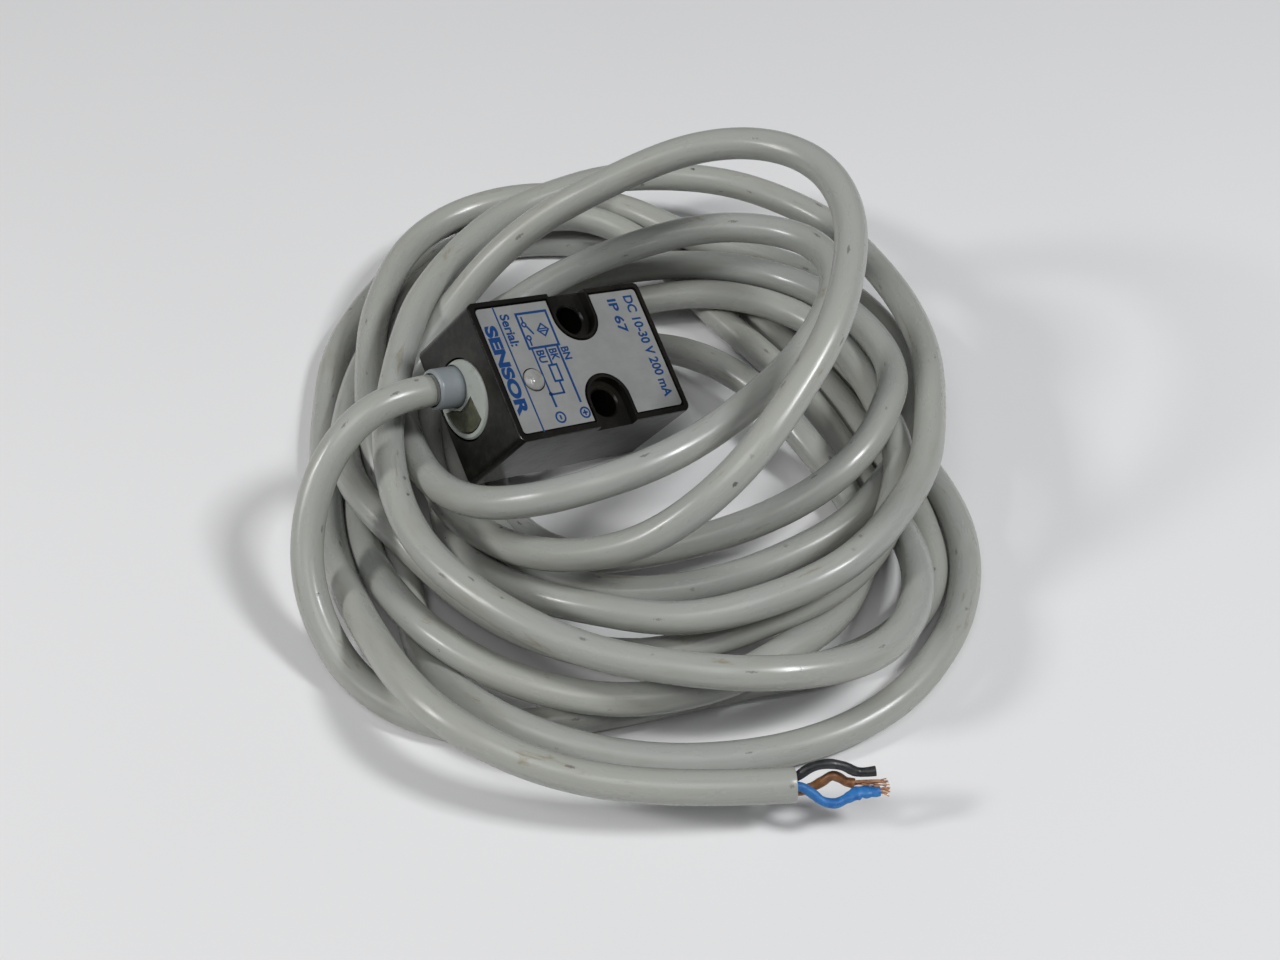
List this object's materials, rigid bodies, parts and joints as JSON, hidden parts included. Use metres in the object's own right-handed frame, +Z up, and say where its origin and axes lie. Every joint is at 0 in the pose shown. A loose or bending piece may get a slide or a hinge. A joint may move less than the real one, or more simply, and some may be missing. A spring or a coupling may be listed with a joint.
{
  "type": "proximity sensor",
  "caption": "Block-style inductive proximity sensor with two screw holes, label plate, LED window and a coiled three-core cable with stripped ends.",
  "frame": {"origin": "on the ground under the middle of the sensor, whose lowest corner touches the ground", "axes": "+Z up from the ground; +X towards the sensing end and the cut cable end; +Y away from the stripped cable end"},
  "size_m": [0.0955, 0.1268, 0.0468],
  "materials": {
    "black_paint": "worn black paint on die-cast metal, semi-gloss",
    "label_foil": "silver-grey foil, satin",
    "clear_plastic": "clear moulded plastic",
    "white_plastic": "off-white moulded plastic",
    "grey_plastic": "light grey moulded plastic",
    "resin": "translucent olive potting resin",
    "black_resin": "black potting resin",
    "cable_pvc": "grey PVC jacket, semi-gloss",
    "brass": "bright",
    "board": "green laminate",
    "component_black": "moulded components",
    "component_tan": "ceramic components",
    "ferrite": "sintered ferrite",
    "nylon": "natural nylon",
    "copper": "bare and enamelled copper",
    "cap_plastic": "black moulded plastic",
    "core_black": "black PVC insulation",
    "core_brown": "brown PVC insulation",
    "core_blue": "blue PVC insulation"
  },
  "bodies": {
    "root": {"housing": "black_paint", "label_plate": "label_foil", "led_window": "clear_plastic", "indicator_led": "clear_plastic", "end_disc": "white_plastic", "cable_sleeve": "grey_plastic", "resin_plug": "resin", "potting_fill": "black_resin", "cable_lead": "cable_pvc", "cable_coil": "cable_pvc", "cable_loop": "cable_pvc", "cable_tail": "cable_pvc", "cable_end_inner": "cable_pvc", "crimp_ring": "brass", "circuit_board": "board", "oscillator_ic": "component_black", "output_transistor": "component_black", "protection_diode": "component_black", "chip_resistor_1": "component_black", "chip_resistor_2": "component_black", "chip_resistor_3": "component_black", "resonance_capacitor": "component_tan", "smoothing_capacitor": "component_tan", "ferrite_core": "ferrite", "coil_bobbin": "nylon", "coil_winding": "copper", "coil_lead_1": "copper", "coil_lead_2": "copper", "strands_brown": "copper", "strands_blue": "copper", "sensing_cap": "cap_plastic", "core_black": "core_black", "lead_black": "core_black", "core_brown": "core_brown", "lead_brown": "core_brown", "core_blue": "core_blue", "lead_blue": "core_blue"}
  },
  "joints": []
}
